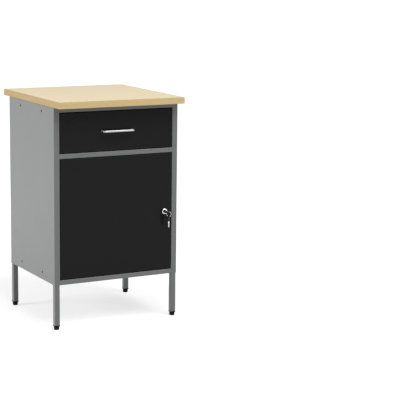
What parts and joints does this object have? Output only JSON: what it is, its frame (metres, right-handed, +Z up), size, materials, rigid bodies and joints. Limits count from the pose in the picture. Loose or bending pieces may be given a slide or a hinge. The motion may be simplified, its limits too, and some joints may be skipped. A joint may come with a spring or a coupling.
{
  "type": "workshop cabinet",
  "caption": "Sheet steel workshop cabinet on square legs with a wooden worktop, a drawer on telescopic slides and a lockable hinged door over a shelf.",
  "frame": {"origin": "on the floor below the middle of the worktop", "axes": "+X to the right of someone facing the door, +Y to the rear, +Z up"},
  "size_m": [0.48, 0.51, 0.805],
  "materials": {
    "case_paint": "satin grey powder coat",
    "front_paint": "satin black powder coat",
    "board_wood": "pale beech, clear lacquered",
    "edge_wood": "beech edge band, clear lacquered",
    "zinc_steel": "bright zinc plated",
    "cage_steel": "zinc plated strip and polished balls",
    "handle_nickel": "satin nickel plated",
    "lock_chrome": "polished chrome plated",
    "key_nickel": "nickel plated",
    "key_plastic": "moulded black",
    "foot_plastic": "moulded black",
    "bush_nylon": "natural nylon"
  },
  "bodies": {
    "cabinet": {"worktop_board": "board_wood", "worktop_edge_front": "edge_wood", "worktop_edge_rear": "edge_wood", "worktop_edge_left": "edge_wood", "worktop_edge_right": "edge_wood", "worktop_screws": "zinc_steel", "side_panel_left": "case_paint", "side_panel_right": "case_paint", "back_panel": "case_paint", "back_panel_rivets": "zinc_steel", "floor_panel": "case_paint", "top_rail_front": "case_paint", "top_rail_rear": "case_paint", "middle_rail": "case_paint", "leg_front_left": "case_paint", "leg_front_right": "case_paint", "leg_rear_left": "case_paint", "leg_rear_right": "case_paint", "leg_inserts": "foot_plastic", "slide_support_left": "case_paint", "slide_support_right": "case_paint", "slide_outer_left": "zinc_steel", "slide_outer_right": "zinc_steel", "slide_rivets": "zinc_steel", "shelf": "case_paint", "shelf_rails": "case_paint", "hinge_bushes": "bush_nylon"},
    "drawer": {"drawer_front": "front_paint", "drawer_inner_front": "front_paint", "drawer_tray": "case_paint", "drawer_back": "case_paint", "drawer_handle": "handle_nickel", "handle_screws": "zinc_steel", "slide_inner_left": "zinc_steel", "slide_inner_right": "zinc_steel", "drawer_slide_screws": "zinc_steel"},
    "slide_middle_left": {"slide_middle_left": "zinc_steel"},
    "slide_middle_right": {"slide_middle_right": "zinc_steel"},
    "ball_cage_outer_left": {"ball_cage_outer_left": "cage_steel"},
    "ball_cage_outer_right": {"ball_cage_outer_right": "cage_steel"},
    "ball_cage_inner_left": {"ball_cage_inner_left": "cage_steel"},
    "ball_cage_inner_right": {"ball_cage_inner_right": "cage_steel"},
    "door": {"door_panel": "front_paint", "door_stiffener": "front_paint", "hinge_pins": "zinc_steel", "lock_housing": "lock_chrome", "lock_nut": "zinc_steel"},
    "lock": {"lock_plug": "lock_chrome", "lock_cam": "zinc_steel", "cam_screw": "zinc_steel", "key_blade": "key_nickel", "key_bow": "key_plastic"},
    "key_ring": {"key_ring": "key_nickel"},
    "spare_key": {"spare_key_blade": "key_nickel", "spare_key_bow": "key_plastic"},
    "foot_front_left": {"foot_front_left": "foot_plastic"},
    "foot_front_right": {"foot_front_right": "foot_plastic"},
    "foot_rear_left": {"foot_rear_left": "foot_plastic"},
    "foot_rear_right": {"foot_rear_right": "foot_plastic"}
  },
  "joints": [
    {"name": "drawer_slide", "type": "slide", "parent": "cabinet", "child": "drawer", "axis": [0, -1, 0], "range_m": [0, 0.35]},
    {"name": "slide_middle_left_travel", "type": "slide", "parent": "cabinet", "child": "slide_middle_left", "axis": [0, -1, 0], "range_m": [0, 0.175]},
    {"name": "ball_cage_outer_left_travel", "type": "slide", "parent": "cabinet", "child": "ball_cage_outer_left", "axis": [0, -1, 0], "range_m": [0, 0.0875]},
    {"name": "ball_cage_inner_left_travel", "type": "slide", "parent": "cabinet", "child": "ball_cage_inner_left", "axis": [0, -1, 0], "range_m": [0, 0.2625]},
    {"name": "slide_middle_right_travel", "type": "slide", "parent": "cabinet", "child": "slide_middle_right", "axis": [0, -1, 0], "range_m": [0, 0.175]},
    {"name": "ball_cage_outer_right_travel", "type": "slide", "parent": "cabinet", "child": "ball_cage_outer_right", "axis": [0, -1, 0], "range_m": [0, 0.0875]},
    {"name": "ball_cage_inner_right_travel", "type": "slide", "parent": "cabinet", "child": "ball_cage_inner_right", "axis": [0, -1, 0], "range_m": [0, 0.2625]},
    {"name": "door_hinge", "type": "hinge", "parent": "cabinet", "child": "door", "pos_m": [-0.207, -0.1975, 0.3905], "axis": [0, 0, -1], "range_deg": [0, 105]},
    {"name": "lock_turn", "type": "hinge", "parent": "door", "child": "lock", "pos_m": [0.19, -0.2045, 0.3905], "axis": [0, 1, 0], "range_deg": [0, 90]},
    {"name": "key_ring_hang", "type": "hinge", "parent": "lock", "child": "key_ring", "pos_m": [0.19, -0.2265, 0.3905], "axis": [0, -1, 0], "range_deg": [0, 80]},
    {"name": "spare_key_swing", "type": "hinge", "parent": "key_ring", "child": "spare_key", "pos_m": [0.19361, -0.23011, 0.3766], "axis": [0.7071, -0.7071, 0], "range_deg": [-20, 20]},
    {"name": "foot_front_left_adjust", "type": "slide", "parent": "cabinet", "child": "foot_front_left", "axis": [0, 0, -1], "range_m": [0, 0.012]},
    {"name": "foot_front_right_adjust", "type": "slide", "parent": "cabinet", "child": "foot_front_right", "axis": [0, 0, -1], "range_m": [0, 0.012]},
    {"name": "foot_rear_left_adjust", "type": "slide", "parent": "cabinet", "child": "foot_rear_left", "axis": [0, 0, -1], "range_m": [0, 0.012]},
    {"name": "foot_rear_right_adjust", "type": "slide", "parent": "cabinet", "child": "foot_rear_right", "axis": [0, 0, -1], "range_m": [0, 0.012]}
  ],
  "couplings": [
    {"joint": "slide_middle_left_travel", "follows": "drawer_slide", "ratio": 0.5},
    {"joint": "ball_cage_outer_left_travel", "follows": "drawer_slide", "ratio": 0.25},
    {"joint": "ball_cage_inner_left_travel", "follows": "drawer_slide", "ratio": 0.75},
    {"joint": "slide_middle_right_travel", "follows": "drawer_slide", "ratio": 0.5},
    {"joint": "ball_cage_outer_right_travel", "follows": "drawer_slide", "ratio": 0.25},
    {"joint": "ball_cage_inner_right_travel", "follows": "drawer_slide", "ratio": 0.75},
    {"joint": "key_ring_hang", "follows": "lock_turn", "ratio": 0.88}
  ]
}
